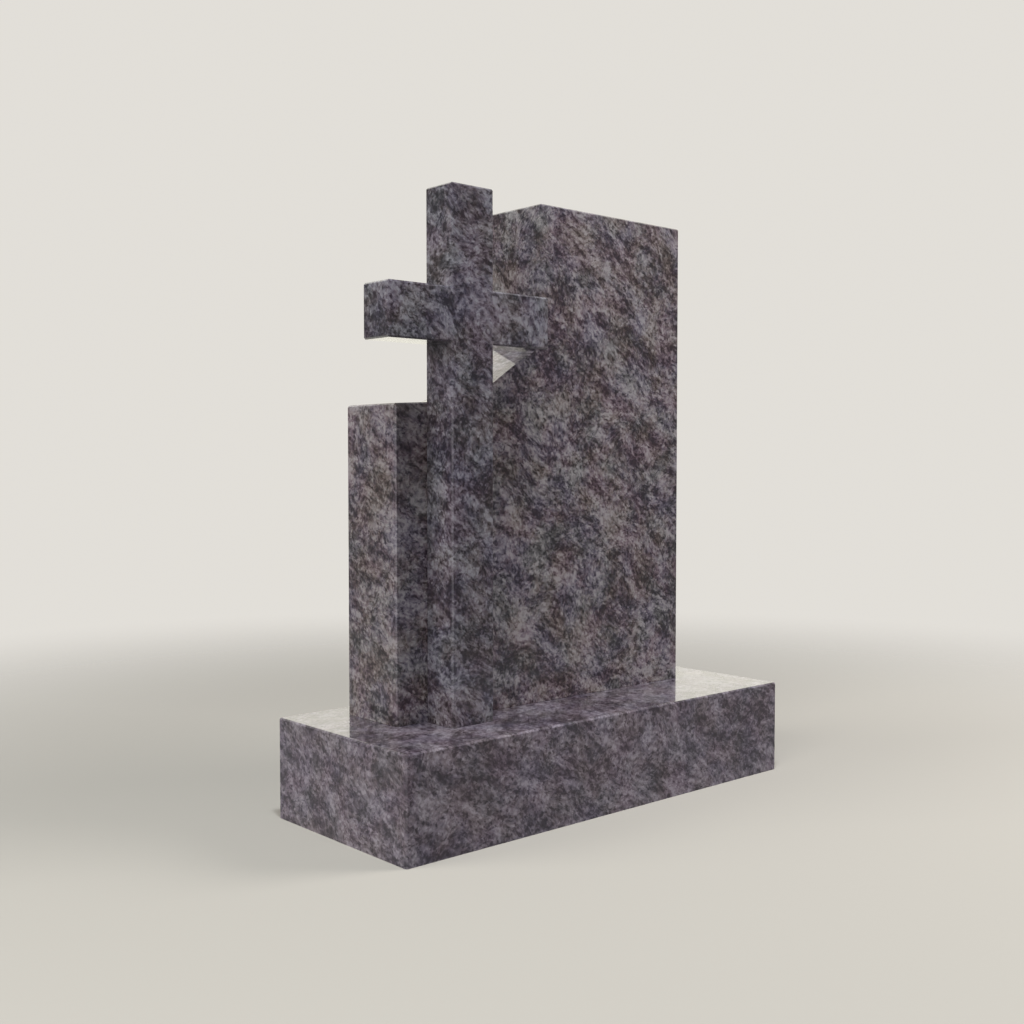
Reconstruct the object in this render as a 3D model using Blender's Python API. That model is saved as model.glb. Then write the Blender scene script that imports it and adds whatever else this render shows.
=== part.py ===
"""Cross memorial in polished granite: a plinth, a stepped stele and a flat Latin cross before it.

Units are metres. The origin is at the middle of the plinth's underside. Seen by someone who stands
before the memorial, +X runs to the right along the plinth, +Y runs away to the back and +Z is up.

The three stones are sawn slabs. Each one is an outline in the upright XZ plane, carried straight
through its thickness along Y, with a small flat chamfer, the arris, along its polished edges.
"""

import math

import bmesh
import bpy


# Bedding joint left between two stones that touch.
JOINT = 0.0003
# Width of the chamfer along every polished edge, measured on each of its two faces.
ARRIS = 0.0025

# Plinth, the oblong block that everything stands on.
PLINTH_LENGTH = 0.800
PLINTH_DEPTH = 0.317
PLINTH_HEIGHT = 0.152

# Stele, one stone with a low wing on the left, a ramp, and a tower on the right.
STELE_THICKNESS = 0.1215
STELE_BACK_MARGIN = 0.052
STELE_SIDE_OFFSET = -0.003
STELE_HEIGHT = 0.7875
TOWER_WIDTH = 0.330
WING_LENGTH = 0.144
WING_END_HEIGHT = 0.4665
WING_RISE_DEGREES = 2.9
RAMP_RUN = 0.140
RAMP_RISE_DEGREES = 33.8
BEND_RADIUS = 0.120
BEND_STEPS = 10

# Cross, one flat stone whose back lies against the stele.
CROSS_THICKNESS = 0.061
CROSS_HEIGHT = 0.7776
POST_WIDTH = 0.0787
POST_CENTRE_FROM_STELE_END = 0.0945
HEAD_HEIGHT = 0.1467
BAR_HEIGHT = 0.0785
BAR_LENGTH = 0.299

# An edge is an arris where its two faces turn away from each other by more than this.
ARRIS_MIN_ANGLE = math.radians(30.0)

# Colour, roughness and metallic value of each stone's polish.
PLINTH_FINISH = ((0.062, 0.060, 0.068), 0.16, 0.0)
STELE_FINISH = ((0.056, 0.052, 0.056), 0.18, 0.0)
CROSS_FINISH = ((0.070, 0.066, 0.074), 0.18, 0.0)


def clear_objects():
    """Empty the scene without closing the file."""
    for item in list(bpy.data.objects):
        bpy.data.objects.remove(item, do_unlink=True)


def polished_stone(name, finish):
    """Make a Principled BSDF material from a (colour, roughness, metallic) finish."""
    colour, roughness, metallic = finish
    material = bpy.data.materials.new(name)
    material.use_nodes = True
    shader = material.node_tree.nodes["Principled BSDF"]
    shader.inputs["Base Color"].default_value = (*colour, 1.0)
    shader.inputs["Roughness"].default_value = roughness
    shader.inputs["Metallic"].default_value = metallic
    return material


def is_arris(edge):
    """Tell whether an edge is a convex corner of the stone and not part of its sawn underside."""
    if edge.calc_face_angle_signed() < ARRIS_MIN_ANGLE:
        return False
    return not any(face.normal.z < -0.999 for face in edge.link_faces)


def slab(name, outline, front, material):
    """Build one stone.

    outline lists (x, z) points anticlockwise as seen from the front. front is a (y, y) pair: the
    front face's place and the back face's place.
    """
    front_y, back_y = front
    shape = bmesh.new()
    corners = [shape.verts.new((x, front_y, z)) for x, z in outline]
    face = shape.faces.new(corners)
    swept = bmesh.ops.extrude_face_region(shape, geom=[face])["geom"]
    moved = [item for item in swept if isinstance(item, bmesh.types.BMVert)]
    bmesh.ops.translate(shape, verts=moved, vec=(0.0, back_y - front_y, 0.0))
    bmesh.ops.recalc_face_normals(shape, faces=shape.faces)
    bmesh.ops.bevel(
        shape,
        geom=[edge for edge in shape.edges if is_arris(edge)],
        offset=ARRIS,
        offset_type="OFFSET",
        segments=1,
        profile=0.5,
        affect="EDGES",
        clamp_overlap=False,
    )
    bmesh.ops.recalc_face_normals(shape, faces=shape.faces)

    mesh = bpy.data.meshes.new(name)
    shape.to_mesh(mesh)
    shape.free()
    mesh.materials.append(material)
    stone = bpy.data.objects.new(name, mesh)
    bpy.context.scene.collection.objects.link(stone)
    return stone


def rectangle(left, right, bottom, top):
    """List the corners of an upright rectangle, anticlockwise from its lower left corner."""
    return [(left, bottom), (right, bottom), (right, top), (left, top)]


def bend_arc(corner, slope_before, slope_after, longest_tangent):
    """Round the hollow corner where two rising lines meet, from the left line to the right one.

    The arc touches both lines at the same distance from the corner, so its radius is that tangent
    length over the tangent of half the turn. It is smaller than BEND_RADIUS where a line is short.
    """
    turn = slope_after - slope_before
    tangent = min(BEND_RADIUS * math.tan(turn / 2.0), longest_tangent)
    radius = tangent / math.tan(turn / 2.0)
    start_x = corner[0] - tangent * math.cos(slope_before)
    start_z = corner[1] - tangent * math.sin(slope_before)
    centre_x = start_x - radius * math.sin(slope_before)
    centre_z = start_z + radius * math.cos(slope_before)
    points = []
    for step in range(BEND_STEPS + 1):
        slope = slope_before + turn * step / BEND_STEPS
        points.append((centre_x + radius * math.sin(slope), centre_z - radius * math.cos(slope)))
    return points


def build_plinth():
    """Build the oblong block, resting on z = 0 and centred on the origin."""
    outline = rectangle(-PLINTH_LENGTH / 2.0, PLINTH_LENGTH / 2.0, 0.0, PLINTH_HEIGHT)
    depths = (-PLINTH_DEPTH / 2.0, PLINTH_DEPTH / 2.0)
    return slab("plinth", outline, depths, polished_stone("plinth_granite", PLINTH_FINISH))


def stele_places():
    """Work out where the stele stands: its left end, its front face and its back face."""
    width = WING_LENGTH + RAMP_RUN + TOWER_WIDTH
    left = STELE_SIDE_OFFSET - width / 2.0
    back = PLINTH_DEPTH / 2.0 - STELE_BACK_MARGIN
    return left, back - STELE_THICKNESS, back


def build_stele():
    """Build the stepped stone, with the wing's top, the bend, the ramp and the tower's edge."""
    left, front, back = stele_places()
    bottom = PLINTH_HEIGHT + JOINT
    wing_slope = math.radians(WING_RISE_DEGREES)
    ramp_slope = math.radians(RAMP_RISE_DEGREES)
    wing_end_z = PLINTH_HEIGHT + WING_END_HEIGHT
    bend = (left + WING_LENGTH, wing_end_z + WING_LENGTH * math.tan(wing_slope))
    tower_left = bend[0] + RAMP_RUN
    tower_right = tower_left + TOWER_WIDTH
    ramp_top_z = bend[1] + RAMP_RUN * math.tan(ramp_slope)
    top = PLINTH_HEIGHT + STELE_HEIGHT
    outline = [(left, bottom), (tower_right, bottom), (tower_right, top), (tower_left, top)]
    outline.append((tower_left, ramp_top_z))
    arc = bend_arc(bend, wing_slope, ramp_slope, min(WING_LENGTH, RAMP_RUN) / 2.0)
    outline.extend(reversed(arc))
    outline.append((left, wing_end_z))
    return slab("stele", outline, (front, back), polished_stone("stele_granite", STELE_FINISH))


def build_cross():
    """Build the flat cross, its post on the plinth and its back against the stele."""
    stele_left, stele_front, _ = stele_places()
    middle = stele_left + POST_CENTRE_FROM_STELE_END
    post_left = middle - POST_WIDTH / 2.0
    post_right = middle + POST_WIDTH / 2.0
    bar_left = middle - BAR_LENGTH / 2.0
    bar_right = middle + BAR_LENGTH / 2.0
    bottom = PLINTH_HEIGHT + JOINT
    top = PLINTH_HEIGHT + CROSS_HEIGHT
    bar_top = top - HEAD_HEIGHT
    bar_bottom = bar_top - BAR_HEIGHT
    outline = [
        (post_left, bottom),
        (post_right, bottom),
        (post_right, bar_bottom),
        (bar_right, bar_bottom),
        (bar_right, bar_top),
        (post_right, bar_top),
        (post_right, top),
        (post_left, top),
        (post_left, bar_top),
        (bar_left, bar_top),
        (bar_left, bar_bottom),
        (post_left, bar_bottom),
    ]
    back = stele_front - JOINT
    depths = (back - CROSS_THICKNESS, back)
    return slab("cross", outline, depths, polished_stone("cross_granite", CROSS_FINISH))


def main():
    """Clear the scene and build the three stones."""
    clear_objects()
    build_plinth()
    build_stele()
    build_cross()


main()
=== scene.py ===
"""Looks of a cross memorial in polished granite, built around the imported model's three stones.

Lengths are in metres, in the frame's own axes: +Z is up, the memorial's front faces -Y, and +X runs
to the right along the plinth. Every stone is one outline in the upright XZ plane, carried through the
stone's thickness along a short profile that cuts its arrises. The stones share one kind of granite: a
dark ground with violet-grey grains, laid down in slanting, wavering layers.
"""

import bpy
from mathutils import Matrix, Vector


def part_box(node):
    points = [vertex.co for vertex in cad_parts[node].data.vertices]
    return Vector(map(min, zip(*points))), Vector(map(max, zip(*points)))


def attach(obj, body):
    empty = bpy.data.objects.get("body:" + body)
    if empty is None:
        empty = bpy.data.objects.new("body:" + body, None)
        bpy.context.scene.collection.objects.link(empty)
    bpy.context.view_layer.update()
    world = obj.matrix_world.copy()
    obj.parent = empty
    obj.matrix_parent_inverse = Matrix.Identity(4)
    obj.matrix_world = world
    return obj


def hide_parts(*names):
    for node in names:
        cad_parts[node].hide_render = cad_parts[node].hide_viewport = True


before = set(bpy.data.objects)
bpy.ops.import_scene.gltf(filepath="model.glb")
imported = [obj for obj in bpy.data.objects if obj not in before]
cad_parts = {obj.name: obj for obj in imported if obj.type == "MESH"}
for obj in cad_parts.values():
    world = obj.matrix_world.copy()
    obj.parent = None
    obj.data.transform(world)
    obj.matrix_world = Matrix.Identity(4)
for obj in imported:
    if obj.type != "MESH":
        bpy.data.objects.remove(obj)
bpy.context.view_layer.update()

import logging
import math
from dataclasses import dataclass
from enum import Enum

import bmesh
import bpy
import numpy as np
from mathutils import Vector

log = logging.getLogger("cross_memorial")

Socket = bpy.types.NodeSocket
Pair = tuple[float, float]
Triple = tuple[float, float, float]
Colour = tuple[float, float, float, float]

# Name of the face attribute that marks the chamfers.
ARRIS_ATTRIBUTE = "arris"
# Points nearer to each other than this are one point.
MERGE_DISTANCE = 1e-6
# How far the two upright stones reach down into the bedding joint under them.
JOINT_BEDDING = 0.00025
# An edge is rounded where its two faces turn away from each other by more than this.
EDGE_ANGLE = math.radians(30.0)
# The value around which noise and random values lie.
NOISE_MIDDLE = 0.5
# Places of the Mix node's sockets for colours: the share, the two colours and the result.
MIX_SHARE, MIX_FIRST, MIX_SECOND, MIX_RESULT = 0, 6, 7, 2


class Corner(Enum):
    """How a corner of a stone's outline is worked."""

    ARRIS = "cut off by a small flat chamfer"
    SHARP = "left as it is: the sawn foot, or a hollow corner"


class Graph:
    """A material's or a world's node tree, with one short method for each kind of node it needs."""

    def __init__(self, tree: bpy.types.NodeTree) -> None:
        """Take over a node tree and empty it."""
        self.tree = tree
        tree.nodes.clear()

    def add(self, kind: str, inputs: dict | None = None, **settings: object) -> bpy.types.Node:
        """Add a node, set its properties and feed its inputs.

        Args:
            kind: The node's Blender type name.
            inputs: Values or output sockets by input name or place.
            **settings: Properties of the node itself.

        Returns:
            The new node.
        """
        node = self.tree.nodes.new(kind)
        for name, value in settings.items():
            setattr(node, name, value)
        for name, value in (inputs or {}).items():
            self.feed(node.inputs[name], value)
        return node

    def feed(self, socket: Socket, value: object) -> None:
        """Link an output socket into an input socket, or set the input's own value.

        Args:
            socket: The input socket.
            value: An output socket, or a plain value that suits the input.
        """
        if isinstance(value, Socket):
            self.tree.links.new(value, socket)
        else:
            socket.default_value = value

    def math(self, operation: str, first: object, second: object = 0.0, third: object = 0.0) -> Socket:
        """Combine one, two or three numbers, as many as the operation takes."""
        terms = {0: first, 1: second, 2: third}
        return self.add("ShaderNodeMath", terms, operation=operation).outputs[0]

    def vector(self, operation: str, first: object, second: object) -> Socket:
        """Combine two vectors into a third one."""
        node = self.add("ShaderNodeVectorMath", {0: first, 1: second}, operation=operation)
        return node.outputs["Vector"]

    def noise(self, place: Socket, grain: float, octaves: float, gain: float) -> bpy.types.Node:
        """Add fractal noise: its largest lumps, how often they are halved, what each halving keeps."""
        inputs = {"Vector": place, "Scale": 1.0 / grain, "Detail": octaves, "Roughness": gain}
        return self.add("ShaderNodeTexNoise", inputs, noise_dimensions="3D", normalize=True)

    def spread(self, value: Socket, weight: float) -> Socket:
        """Turn a noise value into a swing around zero: (value - middle) times the weight."""
        return self.math("MULTIPLY", self.math("SUBTRACT", value, NOISE_MIDDLE), weight)

    def rise(self, value: Socket, start: float, end: float, low: float = 0.0, high: float = 1.0) -> Socket:
        """Go smoothly from low to high while the value goes from start to end."""
        span = {"Value": value, "From Min": start, "From Max": end, "To Min": low, "To Max": high}
        return self.add("ShaderNodeMapRange", span, interpolation_type="SMOOTHSTEP").outputs[0]

    def blend(self, share: object, first: object, second: object, kind: str = "MIX") -> Socket:
        """Mix two colours, with the first one alone at share 0."""
        inputs = {MIX_SHARE: share, MIX_FIRST: first, MIX_SECOND: second}
        return self.add("ShaderNodeMix", inputs, data_type="RGBA", blend_type=kind).outputs[MIX_RESULT]

    def merge(self, share: Socket, first: Socket, second: Socket) -> Socket:
        """Mix two shaders, with the first one alone at share 0."""
        return self.add("ShaderNodeMixShader", {0: share, 1: first, 2: second}).outputs[0]


@dataclass(frozen=True)
class Mottle:
    """One layer of lumps in the rock.

    Attributes:
        size: The size of its largest lumps, in metres.
        octaves: How many times the lumps are halved.
        weight: How strongly it counts.
        flattening: How much thinner the lumps are across the rock's layers.
        gain: The share of its strength that each halving keeps.
    """

    size: float
    octaves: float
    weight: float
    flattening: float = 1.0
    gain: float = 0.75

    def lumps(self, graph: Graph, flow: Socket) -> Socket:
        """Add the layer's noise."""
        flat = graph.vector("MULTIPLY", flow, (1.0, 1.0, self.flattening))
        return graph.noise(flat, self.size, self.octaves, self.gain).outputs["Fac"]


@dataclass(frozen=True)
class Sway:
    """One wave with which the rock's layers waver.

    Attributes:
        size: The wave's size, in metres.
        reach: How far it shifts the rock, in metres.
        octaves: How many times the wave is halved.
        gain: The share of its strength that each halving keeps.
    """

    size: float
    reach: float
    octaves: float = 1.0
    gain: float = 0.5

    def shift(self, graph: Graph, flow: Socket) -> Socket:
        """Shift the rock's coordinates: place + (noise - middle) times the reach, along each axis.

        Args:
            graph: The material's node tree.
            flow: The coordinates.

        Returns:
            The shifted coordinates.
        """
        waves = graph.noise(flow, self.size, self.octaves, self.gain).outputs["Color"]
        centred = graph.vector("SUBTRACT", waves, (NOISE_MIDDLE,) * 3)
        return graph.vector("ADD", flow, graph.vector("MULTIPLY", centred, (self.reach,) * 3))


@dataclass(frozen=True)
class GrainColours:
    """The colours of the grains, from black mica to pale feldspar.

    Attributes:
        darkest: The brightness of the mica.
        palest: The brightness of the feldspar.
        bend: The power that bends the way from the darkest to the palest.
        dark_tint: The tint of the darkest grains.
        light_tint: The tint of the palest grains.
        count: How many stops the colour ramp has.
    """

    darkest: float = 0.022
    palest: float = 0.275
    bend: float = 1.70
    dark_tint: Triple = (1.26, 0.95, 1.165)
    light_tint: Triple = (1.115, 0.98, 1.055)
    count: int = 9

    def ramp(self, graph: Graph, value: Socket, cast: np.ndarray) -> Socket:
        """Turn the grain's value into its colour.

        The brightness is the darkest one plus the way to the palest one times the place to the power
        of the bend, and the tint goes evenly from the dark one to the light one.

        Args:
            graph: The material's node tree.
            value: The grain's value, 0 for mica and 1 for feldspar.
            cast: The stone's tone and tint, by which every colour is multiplied.

        Returns:
            The colour.
        """
        places = np.linspace(0.0, 1.0, self.count)
        brightness = self.darkest + (self.palest - self.darkest) * places**self.bend
        tints = np.outer(1.0 - places, self.dark_tint) + np.outer(places, self.light_tint)
        colours = brightness[:, None] * tints * cast
        node = graph.add("ShaderNodeValToRGB", {"Fac": value})
        elements = node.color_ramp.elements
        while len(elements) < self.count:
            elements.new(1.0)
        for element, place, colour in zip(elements, places.tolist(), colours.tolist()):
            element.position = place
            element.color = (*colour, 1.0)
        return node.outputs["Color"]


@dataclass(frozen=True)
class HuePatches:
    """Patches of colour in the rock, between two tints.

    Attributes:
        first: The tint on one side.
        second: The tint on the other side.
        shift: How far from the grain's own noise these patches are read, in metres.
        mottles: The lumps that make up the patches.
    """

    first: Colour
    second: Colour
    shift: float
    mottles: tuple[Mottle, ...] = (
        Mottle(size=0.055, octaves=1.5, weight=3.3, gain=0.6),
        Mottle(size=0.006, octaves=1.5, weight=1.6, gain=0.6),
    )

    def tint(self, graph: Graph, flow: Socket) -> Socket:
        """Lay out the patches.

        Args:
            graph: The material's node tree.
            flow: The rock's coordinates.

        Returns:
            The tint.
        """
        spot = graph.vector("ADD", flow, (self.shift,) * 3)
        hue: object = NOISE_MIDDLE
        for mottle in self.mottles:
            hue = graph.math("ADD", hue, graph.spread(mottle.lumps(graph, spot), mottle.weight))
        return graph.blend(hue, self.first, self.second)


@dataclass(frozen=True)
class Rock:
    """The kind of granite that all three stones are cut from.

    Attributes:
        layers: The direction across the rock's layers.
        sways: How the layers waver.
        middle: The usual value of a grain, between mica at 0 and feldspar at 1.
        mottles: The lumps, from wide clouds to fine ones.
        mica: The black flecks.
        mica_span: The noise values between which a fleck sets in.
        wisps: The pale streaks.
        wisp_width: How far from its middle line a streak reaches, in noise values.
        value_span: The sums of all lumps that become the lowest and the highest value.
        value_limits: That lowest and that highest value.
        crystal_size: The size of a single crystal, in metres.
        crystal_weight: How much one crystal differs from the next.
        colours: The colours of the grains.
        hues: The patches of colour: olive against violet, and rust against slate.
        hue_limit: The value at which the patches no longer tint. They tint dark grains most.
    """

    layers: Triple = (0.50, -0.39, 0.77)
    sways: tuple[Sway, ...] = (Sway(size=0.150, reach=0.042), Sway(size=0.032, reach=0.010))
    middle: float = 0.52
    mottles: tuple[Mottle, ...] = (
        Mottle(size=0.095, octaves=1.0, weight=1.45, flattening=2.5),
        Mottle(size=0.030, octaves=1.0, weight=1.75, flattening=2.3),
        Mottle(size=0.0098, octaves=1.8, weight=1.70, flattening=1.5),
    )
    mica: Mottle = Mottle(size=0.0080, octaves=1.0, weight=-0.36, flattening=1.3)
    mica_span: Pair = (0.56, 0.70)
    wisps: Mottle = Mottle(size=0.022, octaves=1.5, weight=0.14, flattening=2.2)
    wisp_width: float = 0.055
    value_span: Pair = (-0.22, 1.22)
    value_limits: Pair = (0.05, 0.95)
    crystal_size: float = 0.0040
    crystal_weight: float = 0.50
    colours: GrainColours = GrainColours()
    hues: tuple[HuePatches, ...] = (
        HuePatches(first=(0.985, 1.015, 0.85, 1.0), second=(1.06, 0.95, 1.12, 1.0), shift=0.0),
        HuePatches(first=(1.13, 0.97, 0.92, 1.0), second=(0.89, 1.015, 1.09, 1.0), shift=3.7),
    )
    hue_limit: float = 1.2

    def flow(self, graph: Graph, offset: Triple) -> Socket:
        """Lay out the coordinates of the rock, turned to its layers and wavering with them.

        Args:
            graph: The material's node tree.
            offset: Where in the rock the stone was cut, in metres.

        Returns:
            The coordinates, with the third one across the layers.
        """
        turn = Vector(self.layers).rotation_difference(Vector((0.0, 0.0, 1.0))).to_euler()
        place = graph.add("ShaderNodeTexCoord").outputs["Object"]
        inputs = {"Vector": place, "Location": offset, "Rotation": turn}
        flow = graph.add("ShaderNodeMapping", inputs, vector_type="POINT").outputs[0]
        for sway in self.sways:
            flow = sway.shift(graph, flow)
        return flow

    def crystals(self, graph: Graph, flow: Socket) -> Socket:
        """Give each crystal one random value from 0 to 1.

        Args:
            graph: The material's node tree.
            flow: The rock's coordinates.

        Returns:
            The crystal's value.
        """
        inputs = {"Vector": flow, "Scale": 1.0 / self.crystal_size}
        cells = graph.add("ShaderNodeTexVoronoi", inputs, feature="F1").outputs["Color"]
        return graph.add("ShaderNodeSeparateColor", {0: cells}).outputs[0]

    def grain(self, graph: Graph, flow: Socket, crystal: Socket, contrast: float) -> Socket:
        """Work out how dark or pale the grain is.

        The value is the middle plus the swings of all lumps, minus the flecks and plus the streaks,
        eased into its limits, plus the crystal's own swing.

        Args:
            graph: The material's node tree.
            flow: The rock's coordinates.
            crystal: The crystal's random value.
            contrast: How far the lumps and crystals swing, against the rock's usual swing.

        Returns:
            The value, about 0 for mica and 1 for feldspar.
        """
        value: object = self.middle
        for mottle in self.mottles:
            swing = graph.spread(mottle.lumps(graph, flow), mottle.weight * contrast)
            value = graph.math("ADD", value, swing)
        flecks = graph.rise(self.mica.lumps(graph, flow), *self.mica_span)
        value = graph.math("ADD", value, graph.math("MULTIPLY", flecks, self.mica.weight))
        ridge = graph.math("ABSOLUTE", graph.spread(self.wisps.lumps(graph, flow), 1.0))
        streaks = graph.rise(ridge, self.wisp_width, 0.0)
        value = graph.math("ADD", value, graph.math("MULTIPLY", streaks, self.wisps.weight))
        value = graph.rise(value, *self.value_span, *self.value_limits)
        return graph.math("ADD", value, graph.spread(crystal, self.crystal_weight * contrast))

    def tinted(self, graph: Graph, flow: Socket, value: Socket, colour: Socket, strength: float) -> Socket:
        """Tint the grains by the patches of colour, dark grains more than pale ones.

        Args:
            graph: The material's node tree.
            flow: The rock's coordinates.
            value: The grain's value.
            colour: The grain's colour.
            strength: How strongly the patches tint this stone.

        Returns:
            The tinted colour.
        """
        share = graph.math("MULTIPLY", graph.math("SUBTRACT", self.hue_limit, value), strength)
        for patches in self.hues:
            colour = graph.blend(share, colour, patches.tint(graph, flow), "MULTIPLY")
        return colour


@dataclass(frozen=True)
class Polish:
    """The mirror polish and the cut edges.

    Attributes:
        honed_highlight: A cut edge's paler colour: its own matt-worked tone, partly a painted highlight.
        honed_highlight_share: How much of that colour an edge shows.
        roughness: The roughness of the smoothest crystals under the polish.
        crystal_roughness: How much rougher the roughest crystals are.
        arris_roughness: How much rougher a cut edge is.
        relief_strength: How strongly the crystals' relief shows.
        relief_depth: How deep it is, in metres.
        ior: The refractive index of the crystals.
        specular: How strongly the crystals themselves mirror.
        coat: How much of the surface is polished.
        coat_roughness: The polish's own roughness.
        coat_ior: The polish's refractive index.
    """

    # A cut edge's paler colour: partly a matt-worked edge's own lighter tone, partly a painted highlight.
    honed_highlight: Colour = (0.26, 0.25, 0.265, 1.0)
    honed_highlight_share: float = 0.03
    roughness: float = 0.32
    crystal_roughness: float = 0.12
    arris_roughness: float = 0.10
    relief_strength: float = 0.25
    relief_depth: float = 0.00008
    ior: float = 1.46
    specular: float = 0.25
    coat: float = 1.0
    coat_roughness: float = 0.025
    coat_ior: float = 1.5

    def finish(self, graph: Graph, colour: Socket, crystal: Socket) -> None:
        """Add the shader of a polished stone.

        Args:
            graph: The material's node tree.
            colour: The stone's colour.
            crystal: The crystal's random value.
        """
        arris = graph.add("ShaderNodeAttribute", attribute_name=ARRIS_ATTRIBUTE).outputs["Fac"]
        # Chamfers are blended towards a paler colour: partly a matt-worked edge's own tone, partly a
        # painted highlight.
        colour = graph.blend(graph.math("MULTIPLY", arris, self.honed_highlight_share), colour, self.honed_highlight)
        gloss = graph.math("MULTIPLY_ADD", crystal, self.crystal_roughness, self.roughness)
        gloss = graph.math("MULTIPLY_ADD", arris, self.arris_roughness, gloss)
        relief = graph.add(
            "ShaderNodeBump",
            {"Strength": self.relief_strength, "Distance": self.relief_depth, "Height": crystal},
        )
        shader = graph.add(
            "ShaderNodeBsdfPrincipled",
            {
                "Base Color": colour,
                "Roughness": gloss,
                "IOR": self.ior,
                "Specular IOR Level": self.specular,
                "Normal": relief.outputs["Normal"],
                "Coat Weight": self.coat,
                "Coat Roughness": self.coat_roughness,
                "Coat IOR": self.coat_ior,
            },
        )
        graph.add("ShaderNodeOutputMaterial", {"Surface": shader.outputs["BSDF"]})


@dataclass(frozen=True)
class PolishedGranite:
    """One stone's granite: where in the rock it was cut, and how it differs from the usual rock.

    Attributes:
        slot: The material's name.
        offset: Where in the rock this stone was cut, in metres.
        tone: How much lighter or darker than the rock's usual tone this stone is.
        cast: The stone's own slight tint.
        contrast: How far its lumps swing, against the rock's usual swing.
        hue_strength: How strongly the patches of colour tint this stone.
        rock: The kind of granite.
        polish: The polish.
    """

    slot: str
    offset: Triple
    tone: float
    cast: Triple
    contrast: float
    hue_strength: float
    rock: Rock = Rock()
    polish: Polish = Polish()

    def build(self) -> bpy.types.Material:
        """Make the material.

        Returns:
            The finished material.
        """
        material = bpy.data.materials.new(self.slot)
        material.use_nodes = True
        graph = Graph(material.node_tree)
        flow = self.rock.flow(graph, self.offset)
        crystal = self.rock.crystals(graph, flow)
        value = self.rock.grain(graph, flow, crystal, self.contrast)
        colour = self.rock.colours.ramp(graph, value, self.tone * np.array(self.cast))
        colour = self.rock.tinted(graph, flow, value, colour, self.hue_strength)
        self.polish.finish(graph, colour, crystal)
        return material


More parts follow.
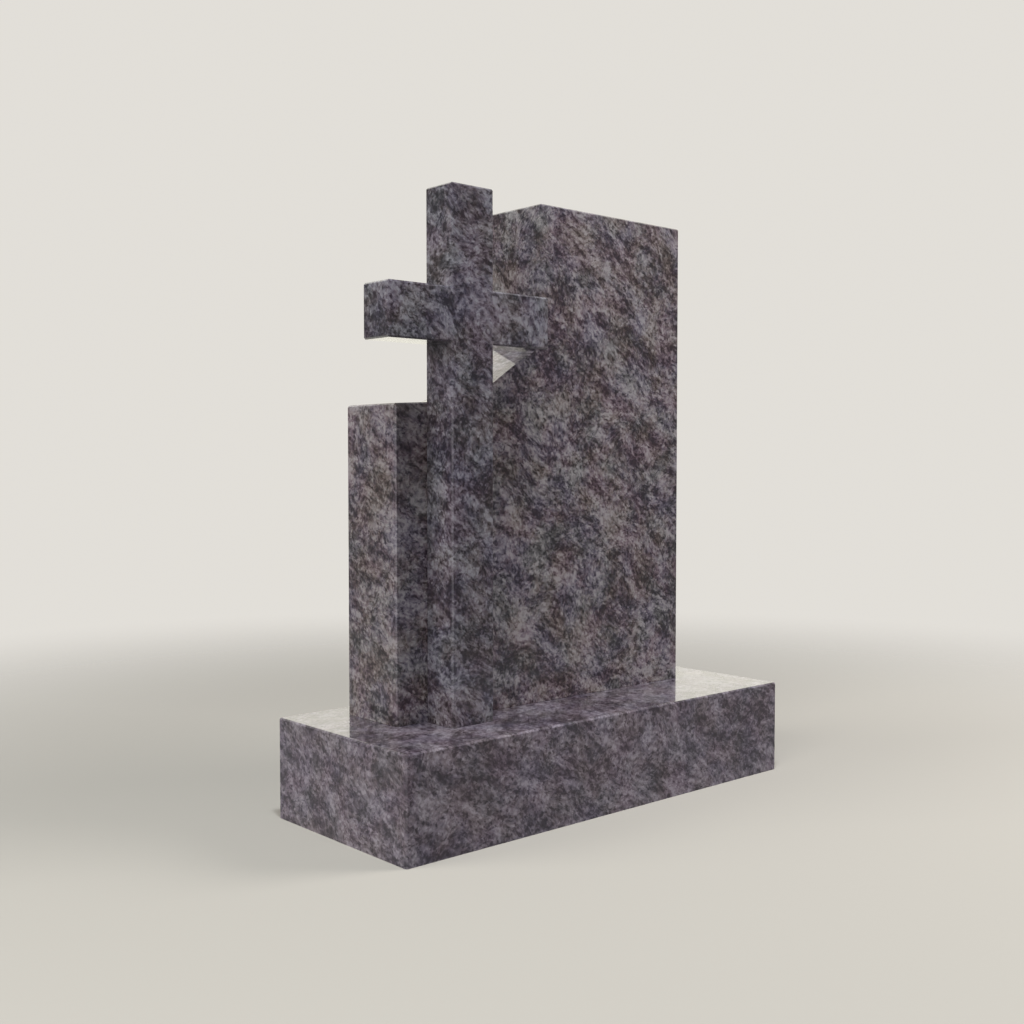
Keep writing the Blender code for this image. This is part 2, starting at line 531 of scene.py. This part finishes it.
@dataclass
class Slab:
    """A sawn stone: an upright outline carried through its thickness.

    Attributes:
        node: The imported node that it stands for.
        granite: The stone's granite.
        arris: The width of the chamfer, measured on each of its two faces.
        soften: The width of the tiny rounding along the chamfer's own edges.
        soften_steps: How many short sides that rounding has.
        bedding: How far the foot reaches down into the joint under it.
    """

    node: str
    granite: PolishedGranite
    arris: float = 0.0025
    soften: float = 0.0005
    soften_steps: int = 2
    bedding: float = 0.0

    def __post_init__(self) -> None:
        """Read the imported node's box, which gives the stone's place and reach."""
        self.low, self.high = (np.array(corner, dtype=float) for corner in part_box(self.node))
        self.low[2] -= self.bedding

    def outline(self) -> tuple[np.ndarray, list[Corner]]:
        """List the outline's points, anticlockwise as seen from the front.

        Returns:
            An array of (x, z) rows, and how each of these corners is worked.
        """
        (left, _, bottom), (right, _, top) = self.low, self.high
        points = np.array([(left, bottom), (right, bottom), (right, top), (left, top)])
        return points, [Corner.SHARP, Corner.SHARP, Corner.ARRIS, Corner.ARRIS]

    def rings(self) -> tuple[np.ndarray, np.ndarray, np.ndarray]:
        """Work out the outline at its full reach and its copy on the face, inside the arris.

        The copy's corners are where the sides meet once each is moved inwards by the arris. The sawn
        foot isn't moved. A worked corner has two points on the full outline, one arris along each of
        its sides, and both belong to the copy's one corner there.

        Returns:
            The full outline, its copy, and for each side of the full outline a 1 if it is a chamfer.
        """
        points, kinds = self.outline()
        before = points - np.roll(points, 1, axis=0)
        before /= np.linalg.norm(before, axis=1)[:, None]
        after = np.roll(before, -1, axis=0)
        on_foot = np.isclose(points[:, 1], self.low[2])
        inset_before = np.where(on_foot & np.roll(on_foot, 1), 0.0, self.arris)
        inset_after = np.where(on_foot & np.roll(on_foot, -1), 0.0, self.arris)
        inward = np.stack([before[:, [1, 0]] * (-1.0, 1.0), after[:, [1, 0]] * (-1.0, 1.0)], axis=1)
        insets = np.stack([inset_before, inset_after], axis=1)
        copy = points + np.linalg.solve(inward, insets[:, :, None])[:, :, 0]

        worked = np.array([kind is Corner.ARRIS for kind in kinds])
        reach = np.where(worked, self.arris, 0.0)[:, None]
        pairs = np.stack([points - before * reach, points + after * reach], axis=1)
        keep = np.stack([worked, np.ones_like(worked)], axis=1).ravel()
        full = pairs.reshape(-1, 2)[keep]
        inner = np.repeat(copy, 2, axis=0)[keep]
        chamfer = np.stack([worked, np.zeros_like(worked)], axis=1).ravel()[keep]
        return full, inner, chamfer.astype(float)

    def mesh(self) -> bpy.types.Mesh:
        """Carry the outline through the thickness.

        Point (u, v) is point u of the full outline, moved towards point u of its copy by the share
        that the profile has at v, at the profile's depth at v.

        Returns:
            The closed mesh, with a face attribute that is 1 on the chamfers.
        """
        full, inner, chamfer = self.rings()
        front, back = self.low[1], self.high[1]
        depths = np.array([front, front + self.arris, back - self.arris, back])
        shares = np.array([1.0, 0.0, 0.0, 1.0])
        plan = full[None] + shares[:, None, None] * (inner - full)[None]
        depth = np.broadcast_to(depths[:, None], plan.shape[:2])
        grid = np.stack([plan[..., 0], depth, plan[..., 1]], axis=-1)

        count = len(full)
        u, v = np.meshgrid(np.arange(count), np.arange(len(depths) - 1))
        here, there = v * count, (v + 1) * count
        onward = (u + 1) % count
        sides = np.stack([here + u, there + u, there + onward, here + onward], axis=-1).reshape(-1, 4)
        ends = [np.arange(count), np.arange(count)[::-1] + (len(depths) - 1) * count]
        faces = sides.tolist() + [end.tolist() for end in ends]

        # The profile's middle row is the stone's own side, and the rows before and after it are chamfers.
        on_foot = np.isclose(full[:, 1], self.low[2])
        foot_side = on_foot & np.roll(on_foot, -1)
        marks = np.where(v == 1, chamfer[u], 1.0)
        marks = np.where(foot_side[u], 0.0, marks).ravel()
        marks = np.concatenate([marks, np.zeros(len(ends))])

        mesh = bpy.data.meshes.new(self.node)
        mesh.from_pydata(grid.reshape(-1, 3), [], faces)
        attribute = mesh.attributes.new(ARRIS_ATTRIBUTE, "FLOAT", "FACE")
        attribute.data.foreach_set("value", marks.astype(np.float32))
        shape = bmesh.new()
        shape.from_mesh(mesh)
        bmesh.ops.remove_doubles(shape, verts=shape.verts, dist=MERGE_DISTANCE)
        bmesh.ops.recalc_face_normals(shape, faces=shape.faces)
        shape.to_mesh(mesh)
        shape.free()
        return mesh

    def build(self) -> bpy.types.Object:
        """Make the stone, soften its edges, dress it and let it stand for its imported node.

        Returns:
            The finished piece.
        """
        mesh = self.mesh()
        mesh.materials.append(self.granite.build())
        stone = bpy.data.objects.new(f"{self.node}_stone", mesh)
        bpy.context.scene.collection.objects.link(stone)
        rounding = stone.modifiers.new("softened_edges", "BEVEL")
        rounding.width = self.soften
        rounding.segments = self.soften_steps
        rounding.limit_method = "ANGLE"
        rounding.angle_limit = EDGE_ANGLE
        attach(stone, "root")
        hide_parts(self.node)
        log.info("%s: %d faces", stone.name, len(mesh.polygons))
        return stone


@dataclass
class SteppedSlab(Slab):
    """The stele: a low wing on the left, a bend, a ramp and a tower on the right.

    Attributes:
        tower_width: The tower's width at its top.
        ramp_run: The ramp's length along the plinth, from the bend's corner to the tower.
        wing_end_height: The wing's height at its left end.
        wing_rise: The slope of the wing's top, in degrees.
        ramp_rise: The slope of the ramp, in degrees.
        bend_radius: The radius of the hollow bend between the wing's top and the ramp.
        bend_steps: How many short sides the bend has.
    """

    tower_width: float = 0.330
    ramp_run: float = 0.140
    wing_end_height: float = 0.4665
    wing_rise: float = 2.9
    ramp_rise: float = 33.8
    bend_radius: float = 0.120
    bend_steps: int = 64

    def outline(self) -> tuple[np.ndarray, list[Corner]]:
        """List the stepped outline, with the bend as an arc that touches both slopes.

        The arc's point at slope s is the arc's centre plus the radius times (sin s, -cos s), for s
        from the ramp's slope to the wing's. The tower's two top corners and the wing's are worked.

        Returns:
            An array of (x, z) rows, and how each of these corners is worked.
        """
        (left, _, bottom), (right, _, top) = self.low, self.high
        wing_slope, ramp_slope = math.radians(self.wing_rise), math.radians(self.ramp_rise)
        tower_left = right - self.tower_width
        wing_top = bottom + self.bedding + self.wing_end_height
        corner_x = tower_left - self.ramp_run
        corner = np.array([corner_x, wing_top + (corner_x - left) * math.tan(wing_slope)])
        ramp_top = corner[1] + self.ramp_run * math.tan(ramp_slope)
        tangent = self.bend_radius * math.tan((ramp_slope - wing_slope) / 2.0)
        start = corner - tangent * np.array([math.cos(wing_slope), math.sin(wing_slope)])
        centre = start + self.bend_radius * np.array([-math.sin(wing_slope), math.cos(wing_slope)])
        slope = np.linspace(ramp_slope, wing_slope, self.bend_steps + 1)
        bend = centre + self.bend_radius * np.stack([np.sin(slope), -np.cos(slope)], axis=1)

        foot = [(left, bottom), (right, bottom)]
        tower_top = [(right, top), (tower_left, top)]
        points = np.concatenate([foot, tower_top, [(tower_left, ramp_top)], bend, [(left, wing_top)]])
        hollow = [Corner.SHARP] * (1 + len(bend))
        kinds = [Corner.SHARP] * len(foot) + [Corner.ARRIS] * len(tower_top) + hollow + [Corner.ARRIS]
        return points, kinds


@dataclass
class LatinCross(Slab):
    """The flat cross.

    Attributes:
        post_width: The post's width.
        head_height: How far the post rises above the bar.
        bar_height: The bar's height.
    """

    post_width: float = 0.0787
    head_height: float = 0.1467
    bar_height: float = 0.0785

    def outline(self) -> tuple[np.ndarray, list[Corner]]:
        """List the cross's twelve corners: six worked ones, two at the foot and four hollow ones.

        Returns:
            An array of (x, z) rows, and how each of these corners is worked.
        """
        (left, _, bottom), (right, _, top) = self.low, self.high
        middle = (left + right) / 2.0
        post_left, post_right = middle - self.post_width / 2.0, middle + self.post_width / 2.0
        bar_top = top - self.head_height
        bar_bottom = bar_top - self.bar_height
        corners = (
            (post_left, bottom, Corner.SHARP),
            (post_right, bottom, Corner.SHARP),
            (post_right, bar_bottom, Corner.SHARP),
            (right, bar_bottom, Corner.ARRIS),
            (right, bar_top, Corner.ARRIS),
            (post_right, bar_top, Corner.SHARP),
            (post_right, top, Corner.ARRIS),
            (post_left, top, Corner.ARRIS),
            (post_left, bar_top, Corner.SHARP),
            (left, bar_top, Corner.ARRIS),
            (left, bar_bottom, Corner.ARRIS),
            (post_left, bar_bottom, Corner.SHARP),
        )
        return np.array([(x, z) for x, z, _ in corners]), [kind for _, _, kind in corners]


@dataclass(frozen=True)
class SoftBox:
    """A rectangular studio light that faces a point of the memorial. The polish doesn't mirror it.

    Attributes:
        name: The light's name.
        place: Where it hangs, in metres.
        size: Its width and height, in metres.
        radiance: How bright its face is.
        colour: Its colour.
        target: The point that it faces.
    """

    name: str
    place: Triple
    size: Pair
    radiance: float
    colour: Triple
    target: Triple = (0.0, 0.0, 0.45)

    def build(self) -> bpy.types.Object:
        """Hang the light. Its power is its radiance times its area times pi.

        Returns:
            The light's object.
        """
        data = bpy.data.lights.new(self.name, "AREA")
        data.shape = "RECTANGLE"
        data.size, data.size_y = self.size
        data.energy = self.radiance * self.size[0] * self.size[1] * math.pi
        data.color = self.colour
        lamp = bpy.data.objects.new(self.name, data)
        lamp.location = self.place
        aim = Vector(self.target) - Vector(self.place)
        lamp.rotation_euler = aim.to_track_quat("-Z", "Y").to_euler()
        lamp.visible_camera = False
        lamp.visible_glossy = False
        bpy.context.scene.collection.objects.link(lamp)
        log.info("light %s hung", self.name)
        return lamp


@dataclass(frozen=True)
class Floor:
    """A round, pale, matt floor that fades into the backdrop.

    Attributes:
        colour: The floor's colour.
        solid: The radius up to which it is solid.
        clear: The radius from which it is clear.
        radius: The floor's own radius.
        spokes: How many points each ring has.
        rings: How many rings there are.
    """

    colour: Colour = (0.515, 0.470, 0.414, 1.0)
    solid: float = 0.7
    clear: float = 2.522
    radius: float = 2.6
    spokes: int = 96
    rings: int = 12

    def build(self) -> bpy.types.Object:
        """Lay the floor as rings times spokes.

        Point (u, v) is the middle plus the radius at v times (cos u, sin u).

        Returns:
            The floor's object.
        """
        angle = np.linspace(0.0, 2.0 * math.pi, self.spokes, endpoint=False)
        radius = self.radius * np.linspace(0.0, 1.0, self.rings + 1)[1:]
        x = radius[:, None] * np.cos(angle)[None]
        y = radius[:, None] * np.sin(angle)[None]
        grid = np.stack([x, y, np.zeros_like(x)], axis=-1).reshape(-1, 3)
        u, v = np.meshgrid(np.arange(self.spokes), np.arange(self.rings - 1))
        onward = (u + 1) % self.spokes
        here, there = v * self.spokes, (v + 1) * self.spokes
        quads = np.stack([here + u, there + u, there + onward, here + onward], axis=-1)
        faces = quads.reshape(-1, 4).tolist() + [list(range(self.spokes))]
        mesh = bpy.data.meshes.new("floor")
        mesh.from_pydata(grid, [], faces)
        mesh.materials.append(self.finish())
        floor = bpy.data.objects.new("floor", mesh)
        bpy.context.scene.collection.objects.link(floor)
        # Only the camera sees it. The surroundings light the stones and mirror in them from below too.
        floor.visible_glossy = False
        floor.visible_diffuse = False
        return floor

    def finish(self) -> bpy.types.Material:
        """Make the floor's material, clear towards its rim so that the backdrop takes over.

        Returns:
            The material.
        """
        material = bpy.data.materials.new("pale_floor")
        material.use_nodes = True
        graph = Graph(material.node_tree)
        place = graph.add("ShaderNodeTexCoord").outputs["Object"]
        far = graph.add("ShaderNodeVectorMath", {0: place}, operation="LENGTH").outputs["Value"]
        fade = graph.rise(far, self.solid, self.clear)
        matt = graph.add("ShaderNodeBsdfDiffuse", {"Color": self.colour}).outputs[0]
        clear = graph.add("ShaderNodeBsdfTransparent").outputs[0]
        graph.add("ShaderNodeOutputMaterial", {"Surface": graph.merge(fade, matt, clear)})
        return material


@dataclass(frozen=True)
class Surroundings:
    """What lies around the memorial: a plain backdrop, a faint soft sky, and what the polish mirrors.

    Heights are those of a direction of length one. How far a direction looks ahead is its dot product
    with the camera's own level direction. A brightness sets in or ends between two such values.

    Attributes:
        backdrop: The colour behind the memorial.
        sky_tint: The colour of the soft light from all around.
        soft_sky: Its brightness.
        mirror_tint: The colour of the surroundings in the polish.
        window_tint: The colour of the backdrop in the polish.
        ahead: The level direction that the camera looks in.
        dim_mirror: The brightness that the polish mirrors at the horizon.
        high_mirror: The same overhead.
        high_span: The heights between which it sets in.
        window_mirror: The same ahead of the camera, where tops and undersides mirror the backdrop.
        window_span: How far ahead it sets in.
        window_top: The heights between which it ends again.
        near_mirror: The same behind the camera, which the near edges mirror.
        near_span: How far ahead it sets in.
        near_top: The heights between which it ends again.
        low_mirror: The same below the horizon, which the plinth's sides mirror.
        low_span: The heights between which it sets in.
    """

    backdrop: Colour = (0.76, 0.735, 0.69, 1.0)
    sky_tint: Colour = (0.96, 0.975, 0.985, 1.0)
    soft_sky: float = 0.11
    mirror_tint: Colour = (1.0, 0.96, 1.01, 1.0)
    window_tint: Colour = (1.045, 1.015, 0.895, 1.0)
    ahead: Triple = (0.665, 0.747, 0.0)
    dim_mirror: float = 0.16
    high_mirror: float = 0.60
    high_span: Pair = (0.10, 0.90)
    window_mirror: float = 1.15
    window_span: Pair = (0.35, 0.60)
    window_top: Pair = (0.80, 0.64)
    near_mirror: float = 1.10
    near_span: Pair = (-0.85, -0.97)
    near_top: Pair = (0.080, 0.045)
    low_mirror: float = 0.36
    low_span: Pair = (-0.11, -0.19)

    def mirrored(self, graph: Graph) -> tuple[Socket, Socket]:
        """Work out how bright the surroundings look in the polish, by direction, and their colour.

        The brightness is the dim one, or the brightest of the four others where they have set in.

        Args:
            graph: The world's node tree.

        Returns:
            The brightness and the colour.
        """
        direction = graph.add("ShaderNodeTexCoord").outputs["Generated"]
        height = graph.add("ShaderNodeSeparateXYZ", {0: direction}).outputs["Z"]
        dot = graph.add("ShaderNodeVectorMath", {0: direction, 1: self.ahead}, operation="DOT_PRODUCT")
        forward = dot.outputs["Value"]
        window = graph.rise(forward, *self.window_span)
        window = graph.math("MULTIPLY", window, graph.rise(height, *self.window_top))
        near = graph.rise(forward, *self.near_span)
        near = graph.math("MULTIPLY", near, graph.rise(height, *self.near_top))
        glows = (
            (window, self.window_mirror),
            (graph.rise(height, *self.high_span), self.high_mirror),
            (near, self.near_mirror),
            (graph.rise(height, *self.low_span), self.low_mirror),
        )
        lift: object = 0.0
        for share, brightness in glows:
            glow = graph.math("MULTIPLY", share, brightness - self.dim_mirror)
            lift = graph.math("MAXIMUM", lift, glow)
        colour = graph.blend(window, self.mirror_tint, self.window_tint)
        return graph.math("ADD", lift, self.dim_mirror), colour

    def build(self) -> bpy.types.World:
        """Fill the world: the backdrop for the camera, the mirrored sky for the polish, else soft light.

        Returns:
            The world.
        """
        world = bpy.data.worlds.new("studio")
        bpy.context.scene.world = world
        world.use_nodes = True
        graph = Graph(world.node_tree)
        mirrored, mirrored_colour = self.mirrored(graph)
        skies = (
            {"Color": self.backdrop, "Strength": 1.0},
            {"Color": mirrored_colour, "Strength": mirrored},
            {"Color": self.sky_tint, "Strength": self.soft_sky},
        )
        seen, glossy, soft = (graph.add("ShaderNodeBackground", sky).outputs[0] for sky in skies)
        path = graph.add("ShaderNodeLightPath").outputs
        unseen = graph.merge(path["Is Glossy Ray"], soft, glossy)
        total = graph.merge(path["Is Camera Ray"], unseen, seen)
        graph.add("ShaderNodeOutputWorld", {"Surface": total})
        return world


@dataclass(frozen=True)
class ViewCamera:
    """The camera, at the photograph's place and bearing.

    Attributes:
        place: Where it stands, in metres.
        bearing: Its bearing from +Y towards +X, in degrees.
        pitch: How far it looks down, in degrees.
        focal_pixels: The focal length in pixels of the square picture.
        picture_side: The picture's width and height in pixels.
        sensor_width: The sensor's width, in millimetres.
        clip_start: The nearest distance that it sees, in metres.
    """

    place: Triple = (-1.3603, -1.4445, 0.5362)
    bearing: float = 41.704
    pitch: float = 2.378
    focal_pixels: float = 1235.4
    picture_side: float = 1024.0
    sensor_width: float = 36.0
    clip_start: float = 0.05

    def build(self) -> bpy.types.Object:
        """Set up the camera.

        Returns:
            The camera's object.
        """
        data = bpy.data.cameras.new("camera")
        data.sensor_fit = "HORIZONTAL"
        data.sensor_width = self.sensor_width
        data.lens = self.sensor_width * self.focal_pixels / self.picture_side
        data.clip_start = self.clip_start
        camera = bpy.data.objects.new("camera", data)
        camera.location = self.place
        camera.rotation_euler = (math.radians(90.0 - self.pitch), 0.0, -math.radians(self.bearing))
        bpy.context.scene.collection.objects.link(camera)
        bpy.context.scene.camera = camera
        return camera


@dataclass(frozen=True)
class Studio:
    """The plain studio that the memorial stands in.

    Attributes:
        floor: The floor.
        surroundings: The backdrop, the soft sky and what the polish mirrors.
        lights: One light overhead, two fills on the left and a key light on the right.
        camera: The camera.
    """

    floor: Floor = Floor()
    surroundings: Surroundings = Surroundings()
    lights: tuple[SoftBox, ...] = (
        SoftBox(
            name="overhead",
            place=(-0.85, -1.1, 4.6),
            size=(0.6, 0.6),
            radiance=108.0,
            colour=(0.88, 0.975, 1.06),
        ),
        SoftBox(
            name="left_fill",
            place=(-3.7, -1.75, 1.8),
            size=(2.2, 2.2),
            radiance=5.0,
            colour=(0.96, 0.985, 0.97),
        ),
        SoftBox(
            name="back_fill",
            place=(-3.9, 1.5, 1.8),
            size=(2.2, 2.2),
            radiance=6.3,
            colour=(0.96, 0.985, 0.96),
        ),
        SoftBox(
            name="right_key",
            place=(1.9, -1.5, 1.7),
            size=(1.4, 1.2),
            radiance=10.5,
            colour=(0.97, 0.975, 0.975),
        ),
    )
    camera: ViewCamera = ViewCamera()

    def build(self) -> None:
        """Lay the floor, light the scene and set up the camera."""
        self.floor.build()
        self.surroundings.build()
        for light in self.lights:
            light.build()
        self.camera.build()
        bpy.context.scene.view_settings.view_transform = "Standard"


PLINTH_GRANITE = PolishedGranite(
    slot="plinth_granite",
    offset=(0.37, 0.11, 0.52),
    tone=0.95,
    cast=(1.015, 1.0, 1.035),
    contrast=0.76,
    hue_strength=0.6,
)
STELE_GRANITE = PolishedGranite(
    slot="stele_granite",
    offset=(-0.21, 0.83, 0.17),
    tone=0.97,
    cast=(0.985, 1.0, 0.945),
    contrast=0.93,
    hue_strength=1.0,
)
CROSS_GRANITE = PolishedGranite(
    slot="cross_granite",
    offset=(0.64, -0.45, -0.29),
    tone=0.82,
    cast=(0.94, 1.0, 1.02),
    contrast=0.92,
    hue_strength=0.8,
)


def main() -> None:
    """Build the three stones and the studio."""
    logging.basicConfig(level=logging.INFO, format="%(name)s: %(message)s")
    Slab("plinth", PLINTH_GRANITE).build()
    SteppedSlab("stele", STELE_GRANITE, bedding=JOINT_BEDDING).build()
    LatinCross("cross", CROSS_GRANITE, bedding=JOINT_BEDDING).build()
    Studio().build()


if __name__ == "__main__":
    main()
